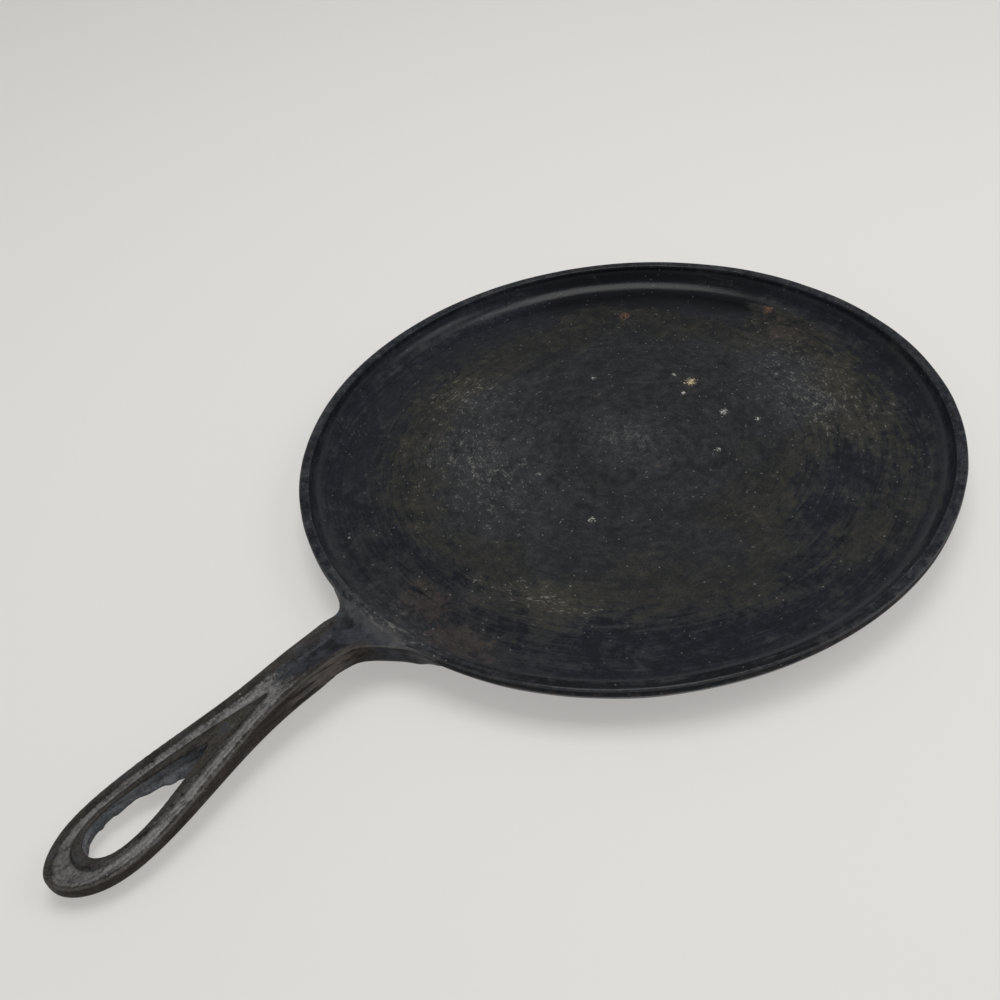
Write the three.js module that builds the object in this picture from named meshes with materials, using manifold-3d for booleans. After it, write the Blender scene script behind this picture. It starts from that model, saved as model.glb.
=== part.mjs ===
// A round cast-iron griddle pan: a flat floor inside a low rim, a base ring below and a loop handle.
// Millimetres, +Z up. The origin is the middle of the floor's upper face, and the handle points along -Y.
import * as THREE from "three";
import { mergeVertices } from "three/addons/utils/BufferGeometryUtils.js";
import Module from "manifold-3d";

// Plate
const rimRadius = 145;
const rimTopWidth = 4.5;
const dishDepth = 10.5;
const coveWidth = 12;
const floorThickness = 4.5;
const lipHeight = 2;
const lipEdgeRound = 0.6;
const grooveDepth = 0.9;
const bulgeHeight = 1;
const baseRingInset = 2.5;
const baseRingWidth = 7;
const baseRingHeight = 5;

// Handle, with distances measured outwards from the rim's outer edge
const handleLength = 140.5;
const neckWidth = 17;
const loopWidth = 31.6;
const loopWideningLength = 66;
const loopTipLength = 29.5;
const tipFullness = 2.3;
const tipBluntness = 0.72;
const rootStart = 1;
const rootEnd = 15.5;
const rootFlare = 9.4;
const rootFlareLength = 4.2;
const saddleBelowLip = 1;
const archRise = 3.6;
const archFallsFrom = 22;
const tipDrop = 8.2;
const neckThickness = 11;
const loopThickness = 8.8;
const tipThickness = 3;
const handleEdgeRound = 0.7;
const lowerEdgeRound = 3;
const sideDraft = 0.4;
const narrowBelow = 4;
const saddleEnd = 5;

// Channel on top of the handle, and the ridge that divides it around the hole
const channelDepth = 2.8;
const lipTopWidth = 1;
const lipFaceWidth = 1.2;
const tipLipLength = 2;
const tipLipFace = 2.5;
const leastChannelFloor = 0.3;
const ridgeWidth = 23;
const ridgeLeastWidth = 2;
const ridgeHeight = 1.2;
const ridgeSlopeWidth = 3.2;
const ridgeLead = 27;
const ridgeTail = 6;
const webLead = 24;

// Teardrop hole. The last five are shares of its half width and lengths that its curves are drawn to.
const holeWidth = 17.4;
const holeLength = 52;
const holeRoundLength = 14;
const holeTipWall = 14.5;
const holePointWidth = 1.2;
const holeWebLength = 4;
const holeTipLength = 9;
const pointSpread = 0.37;
const pointReach = 0.2;
const sideReach = 0.7;
const endTurn = 0.5;
const endSpread = 0.75;

// How finely curves are divided, and small distances for cutting and joining
const segments = 96;
const curveSteps = 12;
const cutMargin = 5;
const tipGap = 0.1;
const weldDistance = 1e-4;

// Places that follow from these
const rimTop = dishDepth;
const floorUnder = -floorThickness;
const baseBottom = floorUnder - baseRingHeight;
const rootDrop = lipHeight + saddleBelowLip;
const loopWidestAt = handleLength - loopTipLength;
const loopWidensFrom = loopWidestAt - loopWideningLength;
const holeEnd = handleLength - holeTipWall;
const holeStart = holeEnd - holeLength;
const holeWidestAt = holeEnd - holeRoundLength;
const ridgeStart = holeStart - ridgeLead;
const ridgeEnd = holeEnd + ridgeTail;
const webStart = holeStart - webLead;
const rimInner = rimRadius - rimTopWidth;
const floorRadius = rimInner - coveWidth;
const baseRingRadius = floorRadius - baseRingInset;
const lipBottom = rimTop - lipHeight;

const wasm = await Module();
wasm.setup();

// A closed three.js geometry as a solid that can be joined and cut.
function solid(geometry) {
  const bare = geometry.clone();
  bare.deleteAttribute("normal");
  bare.deleteAttribute("uv");
  const merged = mergeVertices(bare, weldDistance);
  return new wasm.Manifold(
    new wasm.Mesh({
      numProp: 3,
      vertProperties: merged.attributes.position.array,
      triVerts: new Uint32Array(merged.index.array),
    }),
  );
}

// A solid as a three.js geometry.
function geometryOf(shape) {
  const { numProp, numVert, vertProperties, triVerts } = shape.getMesh();
  const positions = new Float32Array(numVert * 3);
  for (let i = 0; i < numVert; i++) {
    positions.set(vertProperties.subarray(i * numProp, i * numProp + 3), i * 3);
  }
  const geometry = new THREE.BufferGeometry();
  geometry.setAttribute("position", new THREE.BufferAttribute(positions, 3));
  geometry.setIndex(new THREE.BufferAttribute(triVerts, 1));
  geometry.computeVertexNormals();
  return geometry;
}

// A profile of [radius, height] points turned around the Z axis.
function lathe(points) {
  const profile = points.map(([radius, height]) => new THREE.Vector2(radius, height));
  return new THREE.LatheGeometry(profile, segments).rotateX(Math.PI / 2);
}

// A box between two corners.
function block(low, high) {
  const size = high.map((value, axis) => value - low[axis]);
  const middle = high.map((value, axis) => (value + low[axis]) / 2);
  return new THREE.BoxGeometry(...size).translate(...middle);
}

// A quarter of an ellipse around the top of the dish, from angle `from` to angle `to` below level.
function dishCurve(width, depth, from, to, steps) {
  const arc = new THREE.EllipseCurve(floorRadius, rimTop, width, depth, -from, -to, from < to);
  return arc.getPoints(steps).map((point) => [point.x, point.y]);
}

// The angle below level at which an ellipse of this depth passes a drop below the rim's top.
const angleAtDrop = (drop, depth) => Math.asin(drop / depth);

// The flat floor that food lies on.
function cookingFloor() {
  return lathe([
    [0, floorUnder],
    [floorRadius, floorUnder],
    [floorRadius, 0],
    [0, 0],
  ]);
}

// The low ring that the pan stands on.
function baseRing() {
  const inner = baseRingRadius - baseRingWidth;
  return lathe([
    [inner, baseBottom],
    [baseRingRadius, baseBottom],
    [baseRingRadius, floorUnder],
    [inner, floorUnder],
    [inner, baseBottom],
  ]);
}

// The curved wall between the floor and the lip: a cove inside, and the same curve offset outside.
function wallRing() {
  const wallWidth = coveWidth + rimTopWidth;
  const wallDepth = dishDepth + floorThickness;
  const bulgeTop = lipBottom - bulgeHeight;
  const bulgeBottom = bulgeTop - bulgeHeight;
  const outside = dishCurve(
    wallWidth,
    wallDepth,
    angleAtDrop(rimTop - bulgeBottom + bulgeHeight, wallDepth),
    Math.PI / 2,
    curveSteps,
  );
  const lipAngle = angleAtDrop(lipHeight, dishDepth);
  const inside = dishCurve(coveWidth, dishDepth, Math.PI / 2, lipAngle, 10);
  const profile = [
    ...inside,
    [rimRadius - grooveDepth, lipBottom],
    [rimRadius, bulgeTop],
    [rimRadius, bulgeBottom],
    ...outside,
    inside[0],
  ];
  return lathe(profile.reverse());
}

// The flat-topped lip above the groove.
function rimLip() {
  const innerFoot = floorRadius + coveWidth * Math.cos(angleAtDrop(lipHeight, dishDepth));
  return lathe([
    [innerFoot, lipBottom],
    [rimRadius - grooveDepth, lipBottom],
    [rimRadius, lipBottom + grooveDepth],
    [rimRadius, rimTop - lipEdgeRound],
    [rimRadius - lipEdgeRound, rimTop],
    [rimInner, rimTop],
    [innerFoot, lipBottom],
  ]);
}

// The space inside the middle of the wall's thickness, where the handle's saddle ends.
function insideWall() {
  const width = coveWidth + rimTopWidth / 2;
  const depth = dishDepth + floorThickness / 2;
  const above = rimTop + neckThickness;
  return lathe([
    [0, baseBottom],
    [floorRadius, baseBottom],
    ...dishCurve(width, depth, Math.PI / 2, 0, curveSteps),
    [floorRadius + width, above],
    [0, above],
  ]);
}

const { smoothstep, clamp, lerp } = THREE.MathUtils;

// Half the handle's width: a flare at the rim, a slim neck, a wider loop and a slightly pointed tip.
function halfWidth(distance) {
  const flare = rootFlare * Math.exp(-Math.max(distance - rootStart, 0) / rootFlareLength);
  const widening = smoothstep(distance, loopWidensFrom, loopWidestAt);
  const tipShare = clamp((distance - loopWidestAt) / (handleLength - loopWidestAt), 0, 1);
  const rounding = (1 - tipShare ** tipFullness) ** tipBluntness;
  return flare + (lerp(neckWidth, loopWidth, widening) / 2) * rounding;
}

// The height of the handle's lips: low at the rim, arched over the neck and falling to the tip.
function crestHeight(distance) {
  const rise = lerp(-rootDrop, archRise, smoothstep(distance, rootStart, rootEnd));
  const fall = (archRise + tipDrop) * smoothstep(distance, archFallsFrom, handleLength);
  return rimTop + rise - fall;
}

function thickness(distance) {
  return lerp(neckThickness, loopThickness, smoothstep(distance, loopWidensFrom, loopWidestAt));
}

// How far the channel's floor lies below the lips: nothing inside the rim or at the very tip.
function channelDrop(distance) {
  const opening = smoothstep(distance, -rimTopWidth, rootEnd);
  const lipStart = handleLength - tipLipLength;
  const closing = 1 - smoothstep(distance, lipStart - tipLipFace, lipStart);
  return channelDepth * opening * closing;
}

// Half the width of the ridge at its foot.
function ridgeFoot(distance) {
  const opening = smoothstep(distance, ridgeStart, loopWidestAt);
  const endShare = clamp((distance - loopWidestAt) / (ridgeEnd - loopWidestAt), 0, 1);
  const width = ridgeWidth * opening * Math.sqrt(1 - endShare ** 2);
  return Math.max(width, ridgeLeastWidth) / 2;
}

// How far the ridge's top stands above the channel's floor.
function ridgeRise(distance) {
  const rising = smoothstep(distance, ridgeStart, holeStart);
  const falling = 1 - smoothstep(distance, holeEnd, ridgeEnd);
  return ridgeHeight * rising * falling;
}

// The right half of a cross-section, as [x, z] from the middle of the top to that of the underside.
// Its details shrink together where the tip grows narrow.
function halfSection(distance) {
  const half = halfWidth(distance);
  const shrink = Math.min(half / narrowBelow, 1);
  const crest = crestHeight(distance);
  const under = crest - lerp(tipThickness, thickness(distance), shrink);
  const deep = crest - channelDrop(distance);
  const lipInner = half - lipTopWidth * shrink;
  const floorEdge = lipInner - lipFaceWidth * shrink;
  const foot = Math.min(ridgeFoot(distance) * shrink, floorEdge - leastChannelFloor * shrink);
  const ridge = Math.max(foot - ridgeSlopeWidth, foot / 2);
  const ridgeTop = deep + ridgeRise(distance);
  const edge = handleEdgeRound * shrink;
  const round = lowerEdgeRound * shrink;
  const widest = half + sideDraft * shrink;
  const lowerEdge = [0, Math.PI / 6, Math.PI / 3, Math.PI / 2].map((angle) => [
    widest - round * (1 - Math.cos(angle)),
    under + round * (1 - Math.sin(angle)),
  ]);
  return [
    [0, ridgeTop],
    [ridge, ridgeTop],
    [foot, deep],
    [floorEdge, deep],
    [lipInner, crest],
    [half - edge, crest],
    [half, crest - edge],
    ...lowerEdge,
    [0, under],
  ];
}

// A whole cross-section, clockwise from the middle of the top.
function section(distance) {
  const right = halfSection(distance);
  const left = right.slice(1, -1).map(([x, z]) => [-x, z]);
  return [...right, ...left.reverse()];
}

// A cylinder whose rings are moved onto the cross-sections at a list of distances.
function loft(distances) {
  const loops = distances.map(section);
  const sides = loops[0].length;
  const steps = distances.length - 1;
  const body = new THREE.CylinderGeometry(1, 1, steps, sides, steps);
  const position = body.attributes.position;
  for (let k = 0; k < position.count; k++) {
    const [x, y, z] = [position.getX(k), position.getY(k), position.getZ(k)];
    const ring = Math.round(steps / 2 - y);
    const turn = (Math.atan2(x, z) / (2 * Math.PI) + 1) * sides;
    const loop = loops[ring];
    const middle = [0, (loop[0][1] + loop[sides / 2][1]) / 2];
    const [across, up] = Math.hypot(x, z) > 0.5 ? loop[Math.round(turn) % sides] : middle;
    position.setXYZ(k, across, -rimRadius - distances[ring], up);
  }
  return body;
}

// Evenly spaced distances, both ends included.
const spaced = (from, to, steps) =>
  Array.from({ length: steps + 1 }, (_, i) => lerp(from, to, i / steps));

// Distances that crowd towards the tip, where the outline turns quickly.
const towardsTip = (from, steps) =>
  spaced(1 / steps, 1, steps - 1).map((share) =>
    lerp(from, handleLength - tipGap, Math.sin((share * Math.PI) / 2)),
  );

// The teardrop hole as a vertical prism.
function teardrop() {
  const half = holeWidth / 2;
  const point = holePointWidth / 2;
  const narrow = half * pointSpread;
  const broad = half * endSpread;
  const leave = -lerp(holeStart, holeWidestAt, pointReach);
  const arrive = -lerp(holeStart, holeWidestAt, sideReach);
  const turn = -lerp(holeWidestAt, holeEnd, endTurn);
  const outline = new THREE.Shape();
  outline.moveTo(-point, -holeStart);
  outline.lineTo(point, -holeStart);
  outline.bezierCurveTo(narrow, leave, half, arrive, half, -holeWidestAt);
  outline.bezierCurveTo(half, turn, broad, -holeEnd, 0, -holeEnd);
  outline.bezierCurveTo(-broad, -holeEnd, -half, turn, -half, -holeWidestAt);
  outline.bezierCurveTo(-half, arrive, -narrow, leave, -point, -holeStart);
  const prism = new THREE.ExtrudeGeometry(outline, {
    depth: rimTop + archRise - baseBottom + 2 * cutMargin,
    bevelEnabled: false,
    curveSegments: curveSteps,
  });
  return prism.translate(0, -rimRadius, baseBottom - cutMargin);
}

// The part of a solid between two distances along the handle and two sideways limits.
function slice(body, from, to, left = -rimRadius, right = rimRadius) {
  const low = [left, -rimRadius - to, baseBottom - cutMargin];
  const high = [right, -rimRadius - from, rimTop + archRise + cutMargin];
  return body.intersect(solid(block(low, high)));
}

const saddleStart = -coveWidth - rimTopWidth;
const stations = [
  ...spaced(saddleStart, 0, 4),
  ...spaced(rootStart, rootEnd, 10),
  ...spaced(archFallsFrom, holeWidestAt, 22),
  ...towardsTip(holeWidestAt, 12),
];
const handleBody = solid(loft(stations)).subtract(solid(teardrop()));

// The wall with the saddle that carries the handle.
function rimWall() {
  const saddle = slice(handleBody, saddleStart, saddleEnd).subtract(solid(insideWall()));
  return geometryOf(solid(wallRing()).add(saddle));
}

const limbStart = holeStart + holeWebLength;
const limbEnd = holeEnd - holeTipLength;

const handleNeck = () => geometryOf(slice(handleBody, saddleEnd, webStart));
const handleWeb = () => geometryOf(slice(handleBody, webStart, limbStart));
const handleLimbLeft = () => geometryOf(slice(handleBody, limbStart, limbEnd, -rimRadius, 0));
const handleLimbRight = () => geometryOf(slice(handleBody, limbStart, limbEnd, 0, rimRadius));
const handleTip = () => geometryOf(slice(handleBody, limbEnd, handleLength));

const iron = (color, roughness) =>
  new THREE.MeshStandardMaterial({ color, roughness, metalness: 0.4 });
const wornFloor = iron(0x474744, 0.62);
const seasonedRim = iron(0x3c4043, 0.5);
const darkUnderside = iron(0x2e2d2c, 0.7);
const brownHandle = iron(0x4c4742, 0.6);

const griddle = new THREE.Group();
const parts = [
  ["cooking_floor", cookingFloor(), wornFloor],
  ["rim_wall", rimWall(), seasonedRim],
  ["rim_lip", rimLip(), seasonedRim],
  ["base_ring", baseRing(), darkUnderside],
  ["handle_neck", handleNeck(), brownHandle],
  ["handle_web", handleWeb(), brownHandle],
  ["handle_limb_left", handleLimbLeft(), brownHandle],
  ["handle_limb_right", handleLimbRight(), brownHandle],
  ["handle_tip", handleTip(), brownHandle],
];
for (const [name, geometry, material] of parts) {
  const mesh = new THREE.Mesh(geometry, material);
  mesh.name = name;
  griddle.add(mesh);
}

export default griddle;
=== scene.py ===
import itertools

import bmesh
import bpy
import numpy as np
from mathutils import Matrix, Vector


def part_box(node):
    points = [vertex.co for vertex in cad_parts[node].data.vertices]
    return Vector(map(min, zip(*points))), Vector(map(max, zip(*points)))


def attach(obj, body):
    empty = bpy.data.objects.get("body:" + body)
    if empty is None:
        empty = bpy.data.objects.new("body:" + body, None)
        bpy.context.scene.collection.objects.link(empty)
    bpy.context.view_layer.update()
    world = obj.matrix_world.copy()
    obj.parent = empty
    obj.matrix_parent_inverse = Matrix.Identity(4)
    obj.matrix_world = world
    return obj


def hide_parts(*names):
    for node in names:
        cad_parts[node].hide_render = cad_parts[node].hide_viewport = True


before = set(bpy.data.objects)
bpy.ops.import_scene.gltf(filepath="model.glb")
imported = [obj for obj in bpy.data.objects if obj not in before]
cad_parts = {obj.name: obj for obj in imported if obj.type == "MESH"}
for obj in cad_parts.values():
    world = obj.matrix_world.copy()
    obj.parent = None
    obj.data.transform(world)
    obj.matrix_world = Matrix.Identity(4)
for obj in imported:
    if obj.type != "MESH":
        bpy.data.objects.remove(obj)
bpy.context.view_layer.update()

MM = 0.001


# Sizes read from the frame, in millimetres
def box_mm(node):
    """Lowest and highest corner of a CAD node."""
    return [np.array(corner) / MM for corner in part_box(node)]


floor_low, floor_high = box_mm("cooking_floor")
lip_low, lip_high = box_mm("rim_lip")
base_low, base_high = box_mm("base_ring")
tip_low, _ = box_mm("handle_tip")

FLOOR_RADIUS = floor_high[0]
FLOOR_UNDER = floor_low[2]
RIM_RADIUS = lip_high[0]
RIM_TOP = lip_high[2]
LIP_BOTTOM = lip_low[2]
BASE_RADIUS = base_high[0]
TABLE_TOP = base_low[2]
HANDLE_LENGTH = -tip_low[1] - RIM_RADIUS

# The rim's and the base ring's own sizes, in millimetres and degrees
RIM_TOP_WIDTH = 4.5
GROOVE_DEPTH = 0.9
BULGE_HEIGHT = 1.0
RIM_EDGE_SOFTNESS = 0.35
INNER_EDGE_ROUND = 0.4
COVE_END_ANGLE = 4.0
BASE_RING_WIDTH = 7.0
BASE_EDGE_SOFTNESS = 0.5
RIM_INNER = RIM_RADIUS - RIM_TOP_WIDTH
COVE_WIDTH = RIM_INNER - FLOOR_RADIUS
WALL_WIDTH = RIM_RADIUS - FLOOR_RADIUS
WALL_DEPTH = RIM_TOP - FLOOR_UNDER

# The handle's own sizes, with places along it measured out from the rim's edge
NECK_WIDTH = 17.0
NECK_THICKNESS = 11.0
LOOP_WIDTH = 31.6
LOOP_THICKNESS = 7.6
LOOP_WIDENING = 66.0
RIGHT_FULLNESS = 1.08
TIP_LENGTH = 29.5
TIP_THICKNESS = 6.5
TIP_FULLNESS = 2.3
TIP_BLUNTNESS = 0.56
THINS_BELOW = 4.0
ARCH_RISE = 3.6
ARCH_FALLS_FROM = 22.0
TIP_DROP = 8.2
SIDE_DRAFT = 0.4
TOP_EDGE_ROUND = 0.8
LOWER_EDGE_ROUND = 3.2
WIDEST_AT = HANDLE_LENGTH - TIP_LENGTH
WIDENS_FROM = WIDEST_AT - LOOP_WIDENING

# The handle's root. A flare is its reach, its length and how far inwards it goes on widening.
ROOT_START = 1.0
ROOT_END = 15.5
ROOT_DROP = 0.6
ROOT_FILLET = 3.0
ROOT_INSET = 0.25
LEFT_FLARE = (9.4, 4.2, 2.0)
RIGHT_FLARE = (13.0, 8.5, 6.0)
LEFT_UNDERCUT = 8.0
LEFT_UNDERCUT_FROM = 0.4
RIGHT_UNDERCUT = 4.0
RIGHT_UNDERCUT_FROM = 0.7

# The rim's apron, where its lip is drawn out and rounded down at the handle's root
APRON_LEFT = 1.5
APRON_RIGHT = 5.0
APRON_FROM = 2.8
APRON_DROP = 2.4
APRON_FOOT = 3.0
APRON_BEGINS = (-18, -9)
APRON_WIDENS = (-12, 16)
APRON_ENDS = (12, 25)

# The channel between the handle's lips
LIP_WIDTH = 1.1
NECK_FACE_WIDTH = 6.0
LOOP_FACE_WIDTH = 3.2
CHANNEL_DEPTH = 2.8
CHANNEL_OPENS = (-1.0, 12.0)
RIGHT_LIP_DROP = 1.3
RIGHT_LIP_FROM = 1.0

# The teardrop hole and the bead around it
HOLE_WIDTH = 17.4
HOLE_LENGTH = 52.0
HOLE_ROUND_LENGTH = 14.0
HOLE_TIP_WALL = 14.5
HOLE_POINT_WIDTH = 1.2
BEAD_HEIGHT = 1.8
BEAD_WIDTH = 2.3
BEAD_TIP_WIDTH = 4.6
BEAD_LEAD = 27.0
BEAD_RUN_IN = 4.0
BEAD_EDGE = 0.7
HOLE_END = HANDLE_LENGTH - HOLE_TIP_WALL
HOLE_START = HOLE_END - HOLE_LENGTH
HOLE_WIDEST_AT = HOLE_END - HOLE_ROUND_LENGTH
BEAD_START = HOLE_START - BEAD_LEAD

# Shares of a teardrop's half width and lengths that its curves are drawn to
HOLE_POINT_SPREAD = 0.37
BEAD_POINT_SPREAD = 0.25
POINT_REACH = 0.2
SIDE_REACH = 0.7
END_TURN = 0.5
END_SPREAD = 0.75

# Flaws of the casting: the mould's parting line, flash in the hole, and waves of (height, length, seed)
PARTING_DROP = 3.5
PARTING_SLOPE = 0.22
PARTING_STEP = 1.1
PARTING_EDGE = 0.3
FLASH_REACH = 1.3
FLASH_MEAN = 0.45
FLASH_WAVES = [(0.6, 4.5, 5), (0.35, 1.5, 6)]
FLASH_HEIGHTS = (0.5, 3.0)
WEB_REACH = 4.5
WEB_LENGTHS = (4.0, HOLE_LENGTH / 2)
OUTWARD_WAVES = [(0.25, 34, 1), (0.08, 9, 2)]
UPWARD_WAVES = [(0.12, 28, 3), (0.03, 8, 4)]

# How finely the meshes are made, and the space in which the handle is shaped
SEGMENTS = 360
FLOOR_STEP = 1.5
UNDERSIDE_RINGS = 20
RIM_STEP = 0.45
BASE_STEP = 0.6
HANDLE_STEP = 0.48
CURVE_POINTS = 40
BOW_POINTS = 24
SIDE_POINTS = 200
TIP_POINTS = 60
SOFTENING_STEPS = 4
NOISE_CELLS = 32
WELD_DISTANCE = 1e-7
SHARP_ANGLE = 50
SPACE_LEFT = -30.0
SPACE_RIGHT = 42.0
OUTLINE_FROM = -20.0
SPACE_MARGIN = 2.0
SPACE_BELOW = 5.0


# Curves and fields
def smoothstep(value, low, high):
    share = np.clip((value - low) / (high - low), 0, 1)
    return share * share * (3 - 2 * share)


def lerp(first, second, share):
    return first + (second - first) * share


def smooth_max(first, second, radius):
    """The larger of two distances, with a rounded corner where they meet."""
    overlap = np.maximum(radius - np.abs(first - second), 0)
    return np.maximum(first, second) + overlap**2 / (4 * radius)


def noise(points, cell, seed):
    """Smooth noise from -1 to 1 whose features are about one cell across."""
    table = np.random.default_rng(seed).uniform(-1, 1, (NOISE_CELLS, NOISE_CELLS, NOISE_CELLS))
    place = points / cell
    low = np.floor(place).astype(int)
    share = smoothstep(place - low, 0, 1)
    total = np.zeros(len(points))
    for corner in np.ndindex(2, 2, 2):
        weight = np.prod(np.where(corner, share, 1 - share), axis=1)
        total += weight * table[tuple(((low + corner) % NOISE_CELLS).T)]
    return total


def waves(points, layers):
    """Layers of noise added up."""
    return sum(height * noise(points, length, seed) for height, length, seed in layers)


def hand_cast(points):
    """Points moved by the slow waviness of a hand-made sand casting."""
    radius = np.maximum(np.hypot(points[:, 0], points[:, 1]), 1)[:, None]
    outwards = points * [1, 1, 0] / radius
    sideways = outwards * waves(points, OUTWARD_WAVES)[:, None]
    return points + sideways + waves(points, UPWARD_WAVES)[:, None] * [0, 0, 1]


def bezier(start, first, second, end, count):
    share = np.linspace(0, 1, count)[:, None]
    rest = 1 - share
    points = np.array([start, first, second, end], float)
    weights = np.hstack([rest**3, 3 * rest**2 * share, 3 * rest * share**2, share**3])
    return weights @ points


def signed_distance(points, outline):
    """Distance of plan points from a closed outline, negative inside it."""
    nearest = np.full(len(points), np.inf)
    inside = np.zeros(len(points), bool)
    for start, end in zip(outline, np.roll(outline, -1, axis=0)):
        edge = end - start
        from_start = points - start
        share = np.clip(from_start @ edge / (edge @ edge), 0, 1)
        nearest = np.minimum(nearest, np.linalg.norm(from_start - share[:, None] * edge, axis=1))
        straddles = (start[1] > points[:, 1]) != (end[1] > points[:, 1])
        turn = edge[0] * from_start[:, 1] - edge[1] * from_start[:, 0]
        inside ^= straddles & ((turn > 0) == (edge[1] > 0))
    return np.where(inside, -nearest, nearest)


def surface_net(field):
    """Points, in grid steps, and quads of the surface where a sampled field crosses zero."""
    inside = field < 0
    corners = np.array(list(np.ndindex(2, 2, 2)))
    wide, deep, high = shape = np.array(field.shape) - 1
    filled = sum(inside[i:i + wide, j:j + deep, k:k + high].astype(int) for i, j, k in corners)
    cells = np.argwhere((filled > 0) & (filled < len(corners)))
    values = [field[tuple((cells + corner).T)] for corner in corners]
    total = np.zeros((len(cells), 3))
    crossings = np.zeros((len(cells), 1))
    for a, b in itertools.combinations(range(len(corners)), 2):
        edge = corners[b] - corners[a]
        if np.abs(edge).sum() == 1:
            crossed = ((values[a] < 0) != (values[b] < 0))[:, None]
            gap = np.where(values[a] == values[b], 1, values[a] - values[b])
            total += crossed * (corners[a] + (values[a] / gap)[:, None] * edge)
            crossings += crossed
    number = np.full(shape, -1)
    number[tuple(cells.T)] = np.arange(len(cells))
    quads = []
    for axis in range(3):
        across, up = np.roll(np.eye(3, dtype=int), -axis - 1, axis=0)[:2]
        change = np.diff(inside.astype(int), axis=axis)
        for sign in (-1, 1):
            place = np.argwhere(change == sign)
            ring = [place, place - across, place - across - up, place - up][::-sign]
            quads.append(np.stack([number[tuple(cell.T)] for cell in ring], -1))
    return cells + total / crossings, np.concatenate(quads)


def smoothed(points, quads):
    """Points moved half of the way to the middle of their neighbours."""
    one = np.concatenate([quads, np.roll(quads, 1, axis=1)]).ravel()
    other = np.concatenate([np.roll(quads, 1, axis=1), quads]).ravel()
    total = [np.bincount(one, weights=points[other, axis]) for axis in range(3)]
    return lerp(points, np.stack(total, -1) / np.bincount(one)[:, None], 0.5)


# Meshes
def make_piece(name, points, faces, materials, nodes, attributes):
    """A mesh piece of the pan that stands for CAD nodes, with a value per point for each attribute."""
    mesh = bpy.data.meshes.new(name)
    mesh.from_pydata((points * MM).tolist(), [], faces.tolist())
    for attribute, values in attributes.items():
        layer = mesh.attributes.new(attribute, "FLOAT", "POINT")
        layer.data.foreach_set("value", np.asarray(values, np.float32))
    for material in materials:
        mesh.materials.append(material)
    shape = bmesh.new()
    shape.from_mesh(mesh)
    bmesh.ops.remove_doubles(shape, verts=shape.verts, dist=WELD_DISTANCE)
    shape.to_mesh(mesh)
    shape.free()
    mesh.shade_smooth()
    mesh.set_sharp_from_angle(angle=np.radians(SHARP_ANGLE))
    piece = bpy.data.objects.new(name, mesh)
    bpy.context.scene.collection.objects.link(piece)
    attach(piece, "root")
    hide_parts(*nodes)
    return piece


def lathe(profile, closed=True):
    """Points and quads of a profile of (radius, height) turned around the Z axis."""
    rows = len(profile)
    angle = np.linspace(0, 2 * np.pi, SEGMENTS, endpoint=False)[:, None]
    radius, height = profile.T
    points = np.stack(np.broadcast_arrays(radius * np.cos(angle), radius * np.sin(angle), height), -1)
    row = np.arange(rows)
    number = np.arange(SEGMENTS)[:, None] * rows
    beside = (number + rows) % (SEGMENTS * rows)
    along = np.roll(row, -1)
    quads = np.stack([number + row, number + along, beside + along, beside + row], -1)
    quads = quads if closed else quads[:, :-1]
    return points.reshape(-1, 3), quads.reshape(-1, 4)


def even_steps(path, step):
    """A polyline with points at even steps along it."""
    length = np.concatenate([[0], np.cumsum(np.linalg.norm(np.diff(path, axis=0), axis=1))])
    places = np.linspace(0, length[-1], int(round(length[-1] / step)) + 1)
    return np.stack([np.interp(places, length, path[:, axis]) for axis in range(2)], -1)


def softened(path, softness, step):
    """A polyline in even steps, with its corners rounded by a running mean and its two ends kept."""
    path = even_steps(path, step)
    reach = SOFTENING_STEPS
    spread = np.exp(-0.5 * (np.arange(-reach, reach + 1) * step / softness) ** 2)
    spread /= spread.sum()
    before = 2 * path[0] - path[reach:0:-1]
    after = 2 * path[-1] - path[-2:-reach - 2:-1]
    padded = np.concatenate([before, path, after])
    return np.stack([np.convolve(padded[:, axis], spread, "valid") for axis in range(2)], -1)


def dish_curve(width, depth, start, end):
    """Part of an ellipse around the dish's upper inner edge, between angles below level."""
    angle = np.radians(np.linspace(start, end, CURVE_POINTS))
    return np.stack([FLOOR_RADIUS + width * np.cos(angle), RIM_TOP - depth * np.sin(angle)], -1)


def rim_profile():
    """The rim's skin from the floor's edge, up the cove, over the lip and down the outside."""
    bulge_top = LIP_BOTTOM - BULGE_HEIGHT
    bulge_bottom = bulge_top - BULGE_HEIGHT
    wall_from = np.degrees(np.arcsin((RIM_TOP - bulge_bottom + BULGE_HEIGHT) / WALL_DEPTH))
    lip = [
        (RIM_INNER + INNER_EDGE_ROUND, RIM_TOP),
        (RIM_RADIUS, RIM_TOP),
        (RIM_RADIUS, LIP_BOTTOM + GROOVE_DEPTH),
        (RIM_RADIUS - GROOVE_DEPTH, LIP_BOTTOM),
        (RIM_RADIUS, bulge_top),
        (RIM_RADIUS, bulge_bottom),
    ]
    cove = dish_curve(COVE_WIDTH, RIM_TOP, 90, COVE_END_ANGLE)
    wall = dish_curve(WALL_WIDTH, WALL_DEPTH, wall_from, 90)
    return softened(np.concatenate([cove, lip, wall]), RIM_EDGE_SOFTNESS, RIM_STEP)


# The handle's formulas, by distance out from the rim's edge
def half_width(out):
    """Half the handle's width, without the flare of its root."""
    width = lerp(NECK_WIDTH, LOOP_WIDTH, smoothstep(out, WIDENS_FROM, WIDEST_AT))
    tip_share = np.clip((out - WIDEST_AT) / TIP_LENGTH, 0, 1)
    return width / 2 * (1 - tip_share**TIP_FULLNESS) ** TIP_BLUNTNESS


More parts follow.
